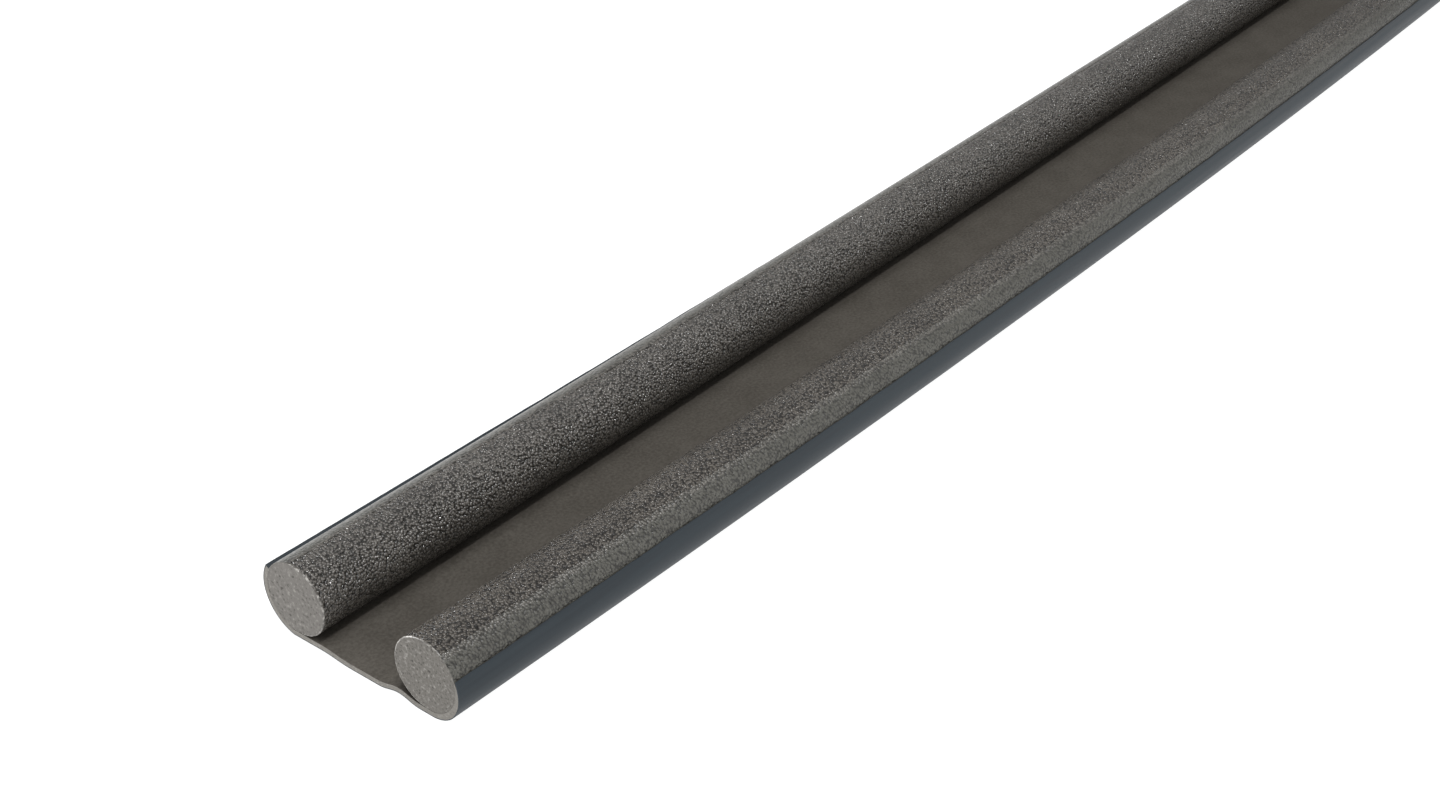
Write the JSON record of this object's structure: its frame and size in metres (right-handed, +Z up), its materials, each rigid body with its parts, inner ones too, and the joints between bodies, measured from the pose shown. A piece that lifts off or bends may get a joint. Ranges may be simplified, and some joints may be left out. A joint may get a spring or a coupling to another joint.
{
  "type": "foam draught excluder strip for a door foot",
  "caption": "Long under-door draught excluder: round foam rolls on either side of a thin foam web, wrapped outside by a smooth glide film.",
  "frame": {"origin": "on the floor, under the middle of the strip's plan outline", "axes": "+X along the strip away from the end that the picture shows, +Y across it towards the back roll, +Z up"},
  "size_m": [0.9534, 0.0978, 0.0295],
  "materials": {
    "roll_foam": "matt extruded polyethylene foam with a coarse pebbled skin",
    "sheet_foam": "matt fine-celled foam sheet",
    "glide_film": "smooth satin film"
  },
  "bodies": {
    "root": {"foam_roll_front": "roll_foam", "foam_roll_back": "roll_foam", "foam_sheet": "sheet_foam", "outer_film": "glide_film"}
  },
  "joints": []
}
